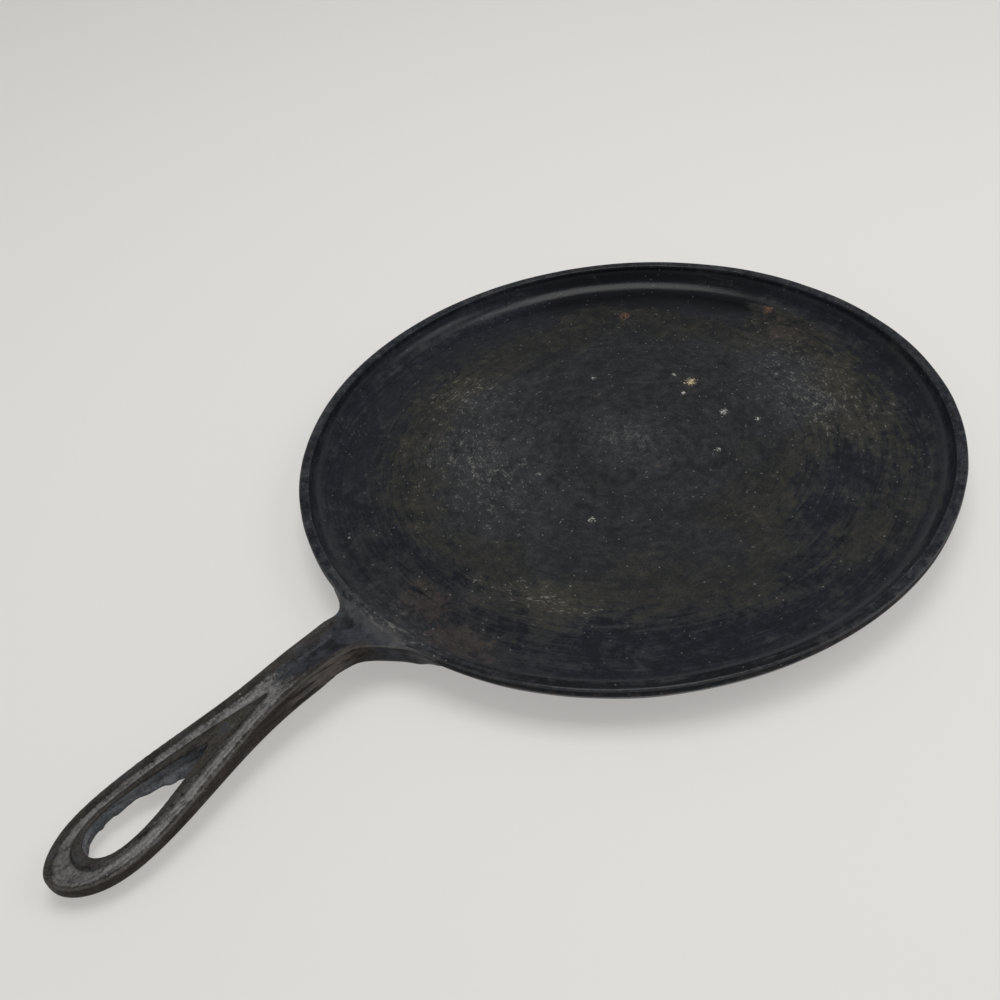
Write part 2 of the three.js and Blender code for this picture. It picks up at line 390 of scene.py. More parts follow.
def flare(out, reach, length, run):
    """How far a side of the root stands out beyond the neck's side."""
    return reach * np.exp(-np.maximum(out - ROOT_START, -run) / length)


def crest_height(out):
    """Height of the handle's lips: low at the rim, arched over the neck and falling to the tip."""
    rise = lerp(-ROOT_DROP, ARCH_RISE, smoothstep(out, ROOT_START, ROOT_END))
    return RIM_TOP + rise - (ARCH_RISE + TIP_DROP) * smoothstep(out, ARCH_FALLS_FROM, HANDLE_LENGTH)


def under_height(across, out):
    """Height of the underside, which rises at both ends of the flared root and at the tip."""
    thickness = lerp(NECK_THICKNESS, LOOP_THICKNESS, smoothstep(out, WIDENS_FROM, WIDEST_AT))
    fullness = np.minimum(half_width(out) / THINS_BELOW, 1)
    right_end = NECK_WIDTH / 2 + flare(-RIM_RADIUS, *RIGHT_FLARE)
    left_end = NECK_WIDTH / 2 + flare(-RIM_RADIUS, *LEFT_FLARE)
    right_lift = RIGHT_UNDERCUT * smoothstep(across, RIGHT_UNDERCUT_FROM * right_end, right_end)
    left_lift = LEFT_UNDERCUT * smoothstep(-across, LEFT_UNDERCUT_FROM * left_end, left_end)
    lift = right_lift + left_lift * (1 - smoothstep(out, ROOT_START, ROOT_END))
    return crest_height(out) - lerp(TIP_THICKNESS, thickness, fullness) + lift


def parting_drop(out):
    """Depth below the crest of the mould's parting line, which runs out at the neck's lower edge."""
    return PARTING_DROP + PARTING_SLOPE * np.maximum(out, 0)


def handle_outline():
    """The handle's outline from above, as (x, distance out)."""
    straight = np.linspace(OUTLINE_FROM, WIDEST_AT, SIDE_POINTS)
    tip = WIDEST_AT + TIP_LENGTH * np.sin(np.linspace(0, np.pi / 2, TIP_POINTS))[1:]
    out = np.concatenate([straight, tip])
    fuller = lerp(1, RIGHT_FULLNESS, smoothstep(out, WIDENS_FROM, WIDEST_AT))
    right = np.stack([fuller * half_width(out) + flare(out, *RIGHT_FLARE), out], -1)
    left = np.stack([-half_width(out) - flare(out, *LEFT_FLARE), out], -1)
    return np.concatenate([right, left[-2::-1]])


def teardrop(start, end, half, spread):
    """A teardrop outline from above, as (x, distance out), with its point towards the rim."""
    point = (HOLE_POINT_WIDTH / 2, start)
    widest = (half, HOLE_WIDEST_AT)
    leave = (spread * half, lerp(start, HOLE_WIDEST_AT, POINT_REACH))
    arrive = (half, lerp(start, HOLE_WIDEST_AT, SIDE_REACH))
    turn = (half, lerp(HOLE_WIDEST_AT, end, END_TURN))
    flank = bezier(point, leave, arrive, widest, CURVE_POINTS)
    bow = bezier(widest, turn, (END_SPREAD * half, end), (0, end), BOW_POINTS)
    right = np.concatenate([flank, bow[1:]])
    return np.concatenate([right, (right * [-1, 1])[-2::-1]])


def handle_plan(plan):
    """Plan points' distances in from the outline and out from the hole and its bead, and their top.

    The fourth of the values goes from 0 on the lips to 1 on the channel's floor.
    """
    across, out = plan.T
    inside = -signed_distance(plan, handle_outline())
    half = HOLE_WIDTH / 2
    hole = signed_distance(plan, teardrop(HOLE_START, HOLE_END, half, HOLE_POINT_SPREAD))
    bead_edge = teardrop(BEAD_START, HOLE_END + BEAD_TIP_WIDTH, half + BEAD_WIDTH, BEAD_POINT_SPREAD)
    bead = signed_distance(plan, bead_edge)
    towards_hole = smoothstep(out, ROOT_END, HOLE_START)
    face = lerp(NECK_FACE_WIDTH, LOOP_FACE_WIDTH, towards_hole)
    channel = smoothstep(inside, LIP_WIDTH, LIP_WIDTH + face)
    drop = CHANNEL_DEPTH * smoothstep(out, *CHANNEL_OPENS)
    rise = BEAD_HEIGHT * smoothstep(out, BEAD_START - BEAD_RUN_IN, HOLE_START)
    rise *= smoothstep(-bead, -BEAD_EDGE, BEAD_EDGE)
    low_lip = RIGHT_LIP_DROP * smoothstep(across, RIGHT_LIP_FROM, NECK_WIDTH / 2) * towards_hole
    top = crest_height(out) - np.maximum(channel * drop - rise, low_lip)
    return inside, hole, bead, channel, top


def flash_reach(x, out, height):
    """How far flash and the closing web reach into the hole, by height above the underside."""
    along = np.stack([out, np.zeros_like(out), np.zeros_like(out)], -1)
    ragged = np.maximum(FLASH_MEAN + waves(along, FLASH_WAVES), 0)[:, None]
    web = WEB_REACH * (1 - smoothstep(out - HOLE_START, *WEB_LENGTHS))[:, None]
    left = (x < 0)[:, None, None]
    return (FLASH_REACH * ragged * left + web) * (1 - smoothstep(height, *FLASH_HEIGHTS))


def handle_field(x, out, z):
    """A field over a grid that is negative inside the handle, without its blend into the wall."""
    plan = np.stack(np.meshgrid(x, out, indexing="ij"), -1).reshape(-1, 2)
    inside, hole, _, _, top = [value.reshape(len(x), len(out), 1) for value in handle_plan(plan)]
    crest = crest_height(out)[:, None]
    under = under_height(x[:, None], out)[:, :, None]
    below_line = crest - z - parting_drop(out)[:, None]
    side = -inside - SIDE_DRAFT * smoothstep(crest - z, 0, NECK_THICKNESS)
    side = side + PARTING_STEP * smoothstep(below_line, -PARTING_EDGE, PARTING_EDGE)
    body = smooth_max(side, z - top, TOP_EDGE_ROUND)
    body = smooth_max(body, under - z, LOWER_EDGE_ROUND)
    return smooth_max(body, -hole - flash_reach(x, out, z - under), TOP_EDGE_ROUND)


def wall_field(radius, height):
    """Roughly how far points lie outside the rim's wall, which is taken a little inside its skin."""
    drop = np.clip((RIM_TOP - height) / WALL_DEPTH, 0, 1)
    face = FLOOR_RADIUS + WALL_WIDTH * np.sqrt(1 - drop**2)
    return radius - np.minimum(face, RIM_RADIUS - GROOVE_DEPTH) + ROOT_INSET


def inside_wall(radius, height):
    """Roughly how far points lie inside the middle of the wall's thickness, where the root ends."""
    across = (radius - FLOOR_RADIUS) / (COVE_WIDTH + RIM_TOP_WIDTH / 2)
    down = np.maximum(RIM_TOP - height, 0) / ((RIM_TOP + WALL_DEPTH) / 2)
    return COVE_WIDTH * (1 - np.hypot(across, down))


def handle_mesh():
    """Points and quads of the handle's casting, with its root blended into the rim's wall."""
    x = np.arange(SPACE_LEFT, SPACE_RIGHT, HANDLE_STEP)
    y = np.arange(-RIM_RADIUS - HANDLE_LENGTH - SPACE_MARGIN, -FLOOR_RADIUS - SPACE_MARGIN, HANDLE_STEP)
    z = np.arange(FLOOR_UNDER - SPACE_BELOW, RIM_TOP + ARCH_RISE + SPACE_MARGIN, HANDLE_STEP)
    radius = np.hypot(x[:, None], y)[:, :, None]
    body = handle_field(x, -RIM_RADIUS - y, z)
    joined = -smooth_max(-body, -wall_field(radius, z), ROOT_FILLET)
    below_lip = np.minimum(RIM_RADIUS - GROOVE_DEPTH - radius, z - LIP_BOTTOM)
    below_top = np.minimum(RIM_RADIUS + ROOT_START - radius, z - (RIM_TOP - ROOT_DROP))
    field = np.max([joined, inside_wall(radius, z), below_lip, below_top], axis=0)
    field[[0, -1]] = field[:, [0, -1]] = field[:, :, [0, -1]] = 1
    points, quads = surface_net(field)
    return smoothed(points, quads) * HANDLE_STEP + [x[0], y[0], z[0]], quads


# Colours, from dark to light where there are two
def srgb(red, green, blue):
    """A screen colour of 0 to 255 as the linear colour that a shader takes."""
    share = np.array([red, green, blue]) / 255
    linear = np.where(share < 0.04045, share / 12.92, ((share + 0.055) / 1.055) ** 2.4)
    return (*linear, 1.0)


FILM = srgb(16, 18, 23), srgb(33, 37, 44)
# Painted shade: near-black seasoning where the plate is darkened
SHADED_FILM = srgb(7, 8, 11)
BARE_HOLLOW = srgb(20, 21, 23)
BARE_GREY = srgb(50, 51, 53)
BARE_OLIVE = srgb(51, 50, 44)
BROWN_FILM = srgb(28, 23, 21), srgb(64, 57, 53)
RUST = srgb(36, 25, 19), srgb(106, 80, 64)
SCUFF = srgb(112, 111, 107)
PLATE_SPECK = srgb(150, 150, 146)
GREY_CHIP = srgb(170, 169, 163)
CREAM_CHIP = srgb(186, 170, 138)
# Rubbed wear, also used for painted highlights and painted reflection on the rim
RUBBED_AND_SHEEN = srgb(92, 92, 93)
# Handle sides, painted darker than the top as painted shade, and lighter near the neck as painted light
HANDLE_SIDE = srgb(20, 17, 15), srgb(62, 55, 51)
HANDLE_SIDE_LIGHT = srgb(24, 21, 19), srgb(98, 91, 86)
HANDLE_TOP = srgb(30, 28, 26), srgb(68, 64, 60)
# Pale dust in the channel, also used as painted light on the right lip's inner slope
HANDLE_DUST_AND_LIGHT = srgb(72, 72, 74), srgb(150, 148, 145)
HANDLE_FILM = srgb(16, 18, 22), srgb(50, 52, 58)
# The hole's own grey wall, painted lighter as painted light against the shade inside the hole
HANDLE_BORE = srgb(52, 55, 59), srgb(116, 118, 122)
# Worn lip edges with a painted highlight
HANDLE_EDGE_AND_HIGHLIGHT = srgb(98, 95, 91)
HANDLE_SPECK = srgb(165, 163, 158)
# Painted shade in creases
HANDLE_CREASE_SHADE = srgb(8, 8, 8)
SOOT = srgb(24, 24, 24), srgb(58, 56, 53)
SOOT_RUST = srgb(62, 47, 39)
TABLE_PAINT = srgb(228, 226, 223)
TABLE_GLOW = srgb(222, 220, 217)
ROOM = srgb(252, 251, 250)

# The share of a speck's radius inside its soft edge
SPECK_CORE = 0.4


# Materials. A noise takes its size in millimetres, and a mask the levels between which it rises.
class Nodes:
    """A node tree, with a method for each kind of node that the whole scene needs."""

    def __init__(self, tree):
        self.tree = tree

    def add(self, kind, **settings):
        node = self.tree.nodes.new("ShaderNode" + kind)
        for name, value in settings.items():
            setattr(node, name, value)
        return node

    def feed(self, socket, value):
        """Connects a socket to another node's output, or sets it to a constant."""
        if isinstance(value, bpy.types.NodeSocket):
            self.tree.links.new(value, socket)
        else:
            socket.default_value = value

    def math(self, operation, first, second=0.0):
        node = self.add("Math", operation=operation)
        self.feed(node.inputs[0], first)
        self.feed(node.inputs[1], second)
        return node.outputs[0]

    def step(self, value, low, high):
        """0 below low, 1 above high, and a smooth rise between them."""
        node = self.add("MapRange", interpolation_type="SMOOTHSTEP")
        self.feed(node.inputs["Value"], value)
        self.feed(node.inputs["From Min"], low)
        self.feed(node.inputs["From Max"], high)
        return node.outputs[0]

    def between(self, share, low, high):
        """A number that goes from low to high as the share goes from 0 to 1."""
        node = self.add("MapRange")
        self.feed(node.inputs["Value"], share)
        self.feed(node.inputs["To Min"], low)
        self.feed(node.inputs["To Max"], high)
        return node.outputs[0]


class Iron(Nodes):
    """A material of cast iron, with the textures, masks and layers that it is made of."""

    def __init__(self, name, specular):
        self.material = bpy.data.materials.new(name)
        self.material.use_nodes = True
        super().__init__(self.material.node_tree)
        self.surface = self.tree.nodes["Principled BSDF"]
        self.surface.inputs["Specular IOR Level"].default_value = specular
        self.place = self.scaled(self.add("TexCoord").outputs["Object"], (1 / MM, 1 / MM, 1 / MM))

    def attribute(self, name):
        return self.add("Attribute", attribute_name=name).outputs["Fac"]

    def scaled(self, vector, scale):
        node = self.add("VectorMath", operation="MULTIPLY")
        self.feed(node.inputs[0], vector)
        self.feed(node.inputs[1], scale)
        return node.outputs[0]

    def arcs(self, turn):
        """Coordinates in which noise runs in arcs around the plate's centre, longer for a smaller turn."""
        split = self.add("SeparateXYZ")
        self.feed(split.inputs[0], self.place)
        x, y, _ = split.outputs
        squares = self.math("ADD", self.math("MULTIPLY", x, x), self.math("MULTIPLY", y, y))
        join = self.add("CombineXYZ")
        self.feed(join.inputs[0], self.math("SQRT", squares))
        self.feed(join.inputs[1], self.math("MULTIPLY", self.math("ARCTAN2", y, x), turn))
        return join.outputs[0]

    def noise(self, size, detail=3.0, roughness=0.6, place=None, lively=0.0):
        """Noise from 0 to 1 whose features are about one size across, in millimetres."""
        node = self.add("TexNoise")
        self.feed(node.inputs["Vector"], place or self.place)
        self.feed(node.inputs["Scale"], 1 / size)
        self.feed(node.inputs["Detail"], detail)
        self.feed(node.inputs["Roughness"], roughness)
        self.feed(node.inputs["Distortion"], lively)
        return node.outputs["Fac"]

    def specks(self, spacing, radius, share):
        """1 in small round specks with soft edges: this share of the cells of this spacing holds one."""
        node = self.add("TexVoronoi")
        self.feed(node.inputs["Vector"], self.place)
        self.feed(node.inputs["Scale"], 1 / spacing)
        draw = self.add("SeparateColor")
        self.feed(draw.inputs[0], node.outputs["Color"])
        outer = radius / spacing
        outside = self.step(node.outputs["Distance"], SPECK_CORE * outer, outer)
        chosen = self.math("LESS_THAN", draw.outputs[0], share)
        return self.math("MULTIPLY", self.math("SUBTRACT", 1.0, outside), chosen)

    def total(self, *terms):
        """The sum of (weight, value) terms."""
        result = 0.0
        for weight, value in terms:
            result = self.math("ADD", self.math("MULTIPLY", value, weight), result)
        return result

    def mask(self, low, high, *terms):
        """0 where the sum of (weight, value) terms is below low, 1 above high, smooth between them."""
        return self.step(self.total(*terms), low, high)

    def mix(self, share, first, second):
        """A colour that goes from the first to the second as the share goes from 0 to 1."""
        node = self.add("Mix", data_type="RGBA")
        self.feed(node.inputs["Factor"], share)
        self.feed(node.inputs["A"], first)
        self.feed(node.inputs["B"], second)
        return node.outputs["Result"]

    def over(self, colour, layer, mask, strength):
        """A colour with a thin layer of another over it where the mask is 1."""
        return self.mix(self.math("MULTIPLY", mask, strength), colour, layer)

    def finish(self, colour, roughness, height, depth):
        """Connects the colour, the roughness, and a relief of this depth in millimetres."""
        bump = self.add("Bump")
        self.feed(bump.inputs["Height"], height)
        bump.inputs["Distance"].default_value = depth * MM
        self.feed(self.surface.inputs["Base Color"], colour)
        self.feed(self.surface.inputs["Roughness"], roughness)
        self.feed(self.surface.inputs["Normal"], bump.outputs["Normal"])
        return self.material


def plate_iron():
    """The dish: bare worn iron in the middle, smooth blue-black seasoning around it, its marks, painted
    shade on dark patches, and painted highlights and reflection on the rim.
    """
    iron = Iron("plate_iron", 0.15)
    grain = iron.noise(0.9, detail=2)
    blotch = iron.noise(4, detail=5, roughness=0.65, lively=0.5)
    flake = iron.noise(14, detail=7, roughness=0.66, lively=0.8)
    cloud = iron.noise(40, detail=2)
    sweep = iron.noise(3, detail=5, roughness=0.66, place=iron.arcs(9.0), lively=1.5)
    fleck = iron.noise(1.5, detail=6, roughness=0.75, place=iron.arcs(30.0), lively=1.5)
    tone = iron.total((0.25, grain), (0.3, blotch), (0.25, flake), (0.2, sweep))
    pale = iron.attribute("pale")

    # Seasoning, darkened in places as painted shade, and bare iron where it is worn away
    film = iron.mix(iron.step(tone, 0.36, 0.64), *FILM)
    # Painted shade: the seasoning goes near black in patches at the back of the plate and on the front of
    # the rim's top
    film = iron.mix(iron.attribute("dark"), film, SHADED_FILM)
    olive = iron.mask(1.5, 2.1, (0.5, iron.attribute("olive")), (2.0, cloud), (1.5, blotch))
    lighter = iron.mask(0.37, 0.61, (1.0, tone), (0.045, pale))
    bare = iron.mix(lighter, BARE_HOLLOW, iron.mix(olive, BARE_GREY, BARE_OLIVE))
    worn = iron.mask(3.15, 4.35, (0.05, iron.attribute("worn")), (2.5, flake), (3.5, sweep), (1.5, blotch))
    colour = iron.mix(worn, film, bare)

    # Brown film, scuffs, specks, rust, chips, and rubbed edges with painted highlights and painted
    # reflection on the rim
    brown = iron.mask(2.9, 3.3, (0.8, iron.attribute("brown")), (4.0, flake), (2.0, blotch))
    colour = iron.over(colour, iron.mix(iron.step(tone, 0.38, 0.62), *BROWN_FILM), brown, 0.6)
    scratched = iron.mask(0.84, 0.97, (0.08, pale), (1.0, fleck), (0.5, blotch))
    scuff = iron.math("MULTIPLY", scratched, iron.between(worn, 0.2, 0.8))
    colour = iron.mix(scuff, colour, SCUFF)
    specks = iron.math("MULTIPLY", iron.specks(2.6, 0.42, 0.3), iron.between(worn, 0.6, 1.0))
    colour = iron.over(colour, PLATE_SPECK, specks, 0.5)
    rust = iron.mask(2.3, 2.9, (1.0, iron.attribute("rust")), (3.0, blotch), (1.5, grain))
    colour = iron.mix(rust, colour, iron.mix(iron.step(grain, 0.4, 0.6), *RUST))
    chip = iron.mask(3.1, 3.9, (1.0, iron.attribute("chip")), (4.0, fleck), (2.0, grain))
    cream = iron.step(iron.attribute("cream"), -0.2, 0.4)
    colour = iron.mix(chip, colour, iron.mix(cream, GREY_CHIP, CREAM_CHIP))
    # Rubbed wear and painted highlights on the rim's edges and apron, and painted reflection lightening its
    # flat top
    edge = iron.mask(1.0, 1.7, (1.0, iron.attribute("edge")), (1.0, blotch), (0.5, grain))
    colour = iron.over(colour, RUBBED_AND_SHEEN, edge, 0.42)

    rough = iron.between(worn, iron.between(tone, 0.17, 0.32), iron.between(tone, 0.42, 0.7))
    height = iron.total((0.8, tone), (-0.3, worn), (0.5, chip), (0.25, scuff))
    return iron.finish(colour, rough, height, 0.14)


def handle_iron():
    """The handle: brown dry casting skin with painted light and shade on its sides, pale dust in the
    channel with painted light, smooth seasoning near the rim, and painted shade in creases.
    """
    iron = Iron("handle_iron", 0.14)
    grain = iron.noise(0.9, detail=2)
    mottle = iron.noise(6, detail=6, roughness=0.65, lively=0.4)
    lengthways = iron.scaled(iron.place, (1.0, 0.12, 1.0))
    streak = iron.noise(2.2, detail=5, roughness=0.65, place=lengthways)
    crumb = iron.noise(1.6, detail=4, roughness=0.75)
    tone = iron.mask(0.35, 0.65, (0.3, grain), (0.25, mottle), (0.45, streak))

    # Dry skin, with painted shade darkening the sides and painted light on the neck's sides, dust and
    # seasoning
    # Painted light: a band along the sides near the neck is lighter; painted shade: the sides are darker
    # than the top
    painted_side_light = iron.mix(iron.step(streak, 0.4, 0.62), *HANDLE_SIDE_LIGHT)
    side = iron.mix(iron.attribute("painted_side_light"), iron.mix(tone, *HANDLE_SIDE), painted_side_light)
    colour = iron.mix(iron.attribute("upper"), side, iron.mix(tone, *HANDLE_TOP))
    # Dust in the channel; on the right it runs up the lip's inner slope as painted light
    dust_and_light_share = iron.mask(4.75, 6.25, (2.0, iron.attribute("dust_and_light")), (1.5, mottle), (3.0, streak), (4.0, crumb))
    dust_and_light = iron.math("MULTIPLY", dust_and_light_share, iron.between(iron.attribute("thin"), 0.95, 0.5))
    colour = iron.mix(dust_and_light, colour, iron.mix(tone, *HANDLE_DUST_AND_LIGHT))
    film = iron.mask(2.3, 2.9, (1.0, iron.attribute("film")), (2.2, mottle), (2.2, streak))
    colour = iron.mix(film, colour, iron.mix(iron.step(mottle, 0.35, 0.65), *HANDLE_FILM))

    # The hole's wall painted lighter as painted light, rubbed places, lip edges with a painted highlight,
    # specks, and creases with painted shade
    # Painted light: the hole's wall is lightened against the shade inside the hole
    bore = iron.mask(0.7, 1.0, (1.0, iron.attribute("bore")), (0.6, mottle))
    colour = iron.mix(bore, colour, iron.mix(tone, *HANDLE_BORE))
    rubbed = iron.mask(0.9, 1.9, (1.0, iron.attribute("rubbed")), (1.0, mottle), (0.5, grain))
    colour = iron.over(colour, RUBBED_AND_SHEEN, rubbed, 0.42)
    # Rubbed wear and a painted highlight along the lips' top edges
    edge = iron.mask(1.2, 1.8, (1.0, iron.attribute("edge")), (1.0, streak), (0.5, grain))
    colour = iron.over(colour, HANDLE_EDGE_AND_HIGHLIGHT, edge, 0.35)
    colour = iron.over(colour, HANDLE_SPECK, iron.specks(3.4, 0.4, 0.15), 0.5)
    # Painted shade along the parting line's step on the sides and at the bead's edge
    colour = iron.over(colour, HANDLE_CREASE_SHADE, iron.attribute("crease_shade"), 0.8)

    rough = iron.between(film, iron.between(tone, 0.55, 0.75), iron.between(mottle, 0.25, 0.4))
    height = iron.total((0.7, grain), (0.6, mottle), (0.5, streak))
    return iron.finish(colour, rough, height, 0.35)


def sooty_iron():
    """The underside: matt soot with brown rust showing through."""
    iron = Iron("sooty_iron", 0.25)
    grain = iron.noise(0.9, detail=2)
    mottle = iron.noise(8, detail=5, roughness=0.65)
    cloud = iron.noise(40, detail=3)
    tone = iron.total((0.5, grain), (0.5, mottle))
    colour = iron.mix(iron.step(tone, 0.36, 0.66), *SOOT)
    brown = iron.mask(0.5, 0.62, (0.5, mottle), (0.5, cloud))
    colour = iron.over(colour, SOOT_RUST, brown, 0.6)
    return iron.finish(colour, iron.between(tone, 0.6, 0.85), tone, 0.2)


# Marks on the plate, in plan: ovals of (x, y, width, depth, turn in degrees), and the worn middle's edge
WORN_OUTLINE = np.array([
    (-108, 12), (-104, 32), (-94, 52), (-96, 65), (-88, 84), (-70, 90), (-64, 97), (-40, 104),
    (-15, 113), (-23, 127), (-10, 134), (14, 132), (50, 116), (96, 86), (116, 56), (124, 20),
    (122, 0), (106, 2), (104, 60), (88, 70), (76, 62), (74, 44), (84, 10), (106, -6), (106, -34),
    (92, -55), (74, -70), (50, -92), (38, -104), (-20, -102), (-60, -94), (-84, -70), (-108, -36),
])
CRISP_MARKS = [(-75, 85, 130, 80, 35), (-5, 125, 70, 40, 0)]
FLAKE_MARKS = [(6, -124, 84, 48, -4), (8, -140, 60, 26, 0)]
# Patches where the seasoning is painted near black as painted shade
PAINTED_SHADE_MARKS = [(-85, 95, 130, 50, 42), (-40, 122, 80, 30, 20)]
BROWN_MARKS = [(8, 119, 30, 12, 0), (5, -120, 26, 18, 0), (28, -126, 30, 14, 0)]
RUST_MARKS = [(-69, 83, 9, 7, 0), (-12, 129, 7, 6, 0)]
PALE_MARKS = [
    (8, -140, 60, 20, 0), (46, 86, 84, 44, -30), (62, 68, 24, 12, -20), (-45, -48, 80, 50, -20),
    (-85, -15, 40, 40, 0), (0, 8, 34, 26, 0), (40, -88, 50, 16, 25),
]
CREAM_MARKS = [(-5, 57, 14, 14, 0)]
CHIP_MARKS = [
    (-5, 57, 6, 7, 0), (-15, 57, 3, 2, 0), (-2, 48, 2.5, 3, 0), (22, 48, 4.5, 4.5, 0),
    (37, 53, 3, 2.5, 0), (36, 25, 3.5, 3, 0), (84, -15, 2.2, 2.2, 0), (23, -43, 3.5, 3.5, 0),
    (-16, -36, 3, 2.5, 0), (5, -69, 2, 2.5, 0), (10, -99, 2, 2, 0), (-52, -117, 2, 2, 0),
    (-45, 32, 4, 2.2, 0), (-5, 119, 3, 2, 0),
]

# How strongly the plate's marks show
WORN_LIMITS = (-45, 14)
FLAKE_DEPTH = 9.0
CRISPNESS = 5.0
OLIVE_DEPTH = 8.0
OLIVE_WIDTH = 16.0
DARK_SHADE = 0.85
OUTSIDE_BROWN = 0.2
RIM_EDGE_WIDTH = 0.9
RIM_TOP_DEPTH = 0.5
# Painted reflection on the rim's flat top, and painted shade towards its front
RIM_TOP_REFLECTION = 0.44
RIM_FRONT = (150, 195)
RIM_FRONT_SHADE = 0.6

# Where each look of the handle begins and ends: places along and across it, depths and channel shares
TOP_DEPTHS = (0.4, 1.2)
RIGHT_SIDE = (-2, 4)
SEASONED_ENDS = (16, 56)
SIDE_LIGHT_BEGINS = (10, 26)
SIDE_LIGHT_ENDS = (28, 55)
LEFT_DUST = (0.3, 0.7)
RIGHT_DUST_AND_LIGHT = (-0.1, 0.2)
BEAD_DUST = (-1, 0.5)
DUST_FADE = 6.0
DUST_THINS = (HOLE_END - DUST_FADE, HOLE_END + DUST_FADE)
ROOT_FILM_ENDS = (2, 12)
ROOT_RUB_ENDS = (0, 8)
BORE_DEPTHS = (0.2, 1.0)
EDGE_WIDTHS = (0.4, 1.2)
PARTING_ENDS = (20, 34)
PARTING_WIDTH = 0.5
BEAD_CREASE_WIDTH = 0.6
BEAD_CREASE_SHADE = 0.7


def marks(points, ovals):
    """1 in the middle of the nearest oval mark, 0 at its edge and down to -1 outside."""
    best = np.full(len(points), -1.0)
    for x, y, wide, deep, turn in ovals:
        cosine, sine = np.cos(np.radians(turn)), np.sin(np.radians(turn))
        across, along = points[:, 0] - x, points[:, 1] - y
        width_share = (across * cosine + along * sine) * 2 / wide
        depth_share = (along * cosine - across * sine) * 2 / deep
        best = np.maximum(best, 1 - np.hypot(width_share, depth_share))
    return best


def patches(points, ovals):
    """1 in the inner half of oval marks, falling to 0 at their edges."""
    return np.clip(2 * marks(points, ovals), 0, 1)


def plate_attributes(points, edge, outside):
    """The plate's marks at its points, with rubbed edges that also carry painted highlights and painted
    reflection, and what lies on the outside of the wall.
    """
    within = -signed_distance(points[:, :2], WORN_OUTLINE)
    worn = np.maximum(within, FLAKE_DEPTH * marks(points, FLAKE_MARKS))
    worn *= lerp(1, CRISPNESS, patches(points, CRISP_MARKS))
    return {
        "worn": np.clip(worn, *WORN_LIMITS),
        "rust": marks(points, RUST_MARKS),
        "brown": np.maximum(marks(points, BROWN_MARKS), np.where(outside, OUTSIDE_BROWN, -1)),
        "pale": marks(points, PALE_MARKS),
        "olive": np.clip(1 - np.abs(within - OLIVE_DEPTH) / OLIVE_WIDTH, -1, 1),
        "chip": marks(points, CHIP_MARKS),
        "cream": marks(points, CREAM_MARKS),
        # Painted shade: patches at the back of the plate
        "dark": DARK_SHADE * patches(points, PAINTED_SHADE_MARKS),
        "edge": edge,
    }


def root_apron(points):
    """The rim's points, with its lip drawn out and rounded down where the handle springs from it."""
    x, y, z = points.T
    radius = np.hypot(x, y)
    near = smoothstep(x, *APRON_BEGINS) * (1 - smoothstep(x, *APRON_ENDS)) * (y < 0)
    reach = near * lerp(APRON_LEFT, APRON_RIGHT, smoothstep(x, *APRON_WIDENS))
    share = np.clip((radius - RIM_RADIUS) / APRON_FROM + 1, 0, 1)
    share *= smoothstep(z, LIP_BOTTOM - APRON_FOOT, LIP_BOTTOM)
    outwards = points * [1, 1, 0] / np.maximum(radius, 1)[:, None]
    return points + outwards * (reach * share)[:, None] - [0, 0, APRON_DROP] * (near * share**2)[:, None]


# The pieces
def make_floor(plate, soot):
    """The flat floor that food lies on, with its underside."""
    across = np.arange(0, FLOOR_RADIUS, FLOOR_STEP)
    upper = np.stack([across, np.zeros_like(across)], -1)
    corner = [(FLOOR_RADIUS, 0), (FLOOR_RADIUS, FLOOR_UNDER)]
    inwards = np.linspace(FLOOR_RADIUS, 0, UNDERSIDE_RINGS)[1:]
    lower = np.stack([inwards, np.full_like(inwards, FLOOR_UNDER)], -1)
    points, quads = lathe(np.concatenate([upper, corner, lower]), closed=False)
    none = np.zeros(len(points))
    attributes = plate_attributes(points, none, none)
    points = hand_cast(points)
    irons = [plate, soot]
    floor = make_piece("griddle_floor", points, quads, irons, ["cooking_floor"], attributes)
    for face in floor.data.polygons:
        face.material_index = int(face.center.z < FLOOR_UNDER / 2 * MM)


def make_rim(plate):
    """The coved wall and its flat-topped lip."""
    skin = rim_profile()
    points, quads = lathe(skin)
    radius, height = skin.T
    to_edge = np.hypot(radius - RIM_RADIUS, height - RIM_TOP)
    # Rubbed wear with a painted highlight along the lip's outer edge
    edge = np.tile(np.clip(1 - to_edge / RIM_EDGE_WIDTH, 0, 1), SEGMENTS)
    flat_top = np.tile(height > RIM_TOP - RIM_TOP_DEPTH, SEGMENTS)
    outside = np.tile((height < 0) | ((height < LIP_BOTTOM) & (radius > RIM_INNER)), SEGMENTS)
    front = smoothstep(points[:, 0] - points[:, 1], *RIM_FRONT)
    drawn_out = root_apron(points)
    apron = np.minimum(np.linalg.norm(drawn_out - points, axis=1) / APRON_LEFT, 1)
    # Painted reflection: the flat top is lightened except towards the front; the apron gets rubbed wear and
    # a painted highlight
    edge = np.max([edge, RIM_TOP_REFLECTION * flat_top * (1 - front), apron], axis=0)
    attributes = plate_attributes(points, edge, outside)
    # Painted shade: the flat top is darkened towards the front
    attributes["dark"] = np.maximum(attributes["dark"], RIM_FRONT_SHADE * flat_top * front)
    points = hand_cast(drawn_out)
    make_piece("griddle_rim", points, quads, [plate], ["rim_wall", "rim_lip"], attributes)


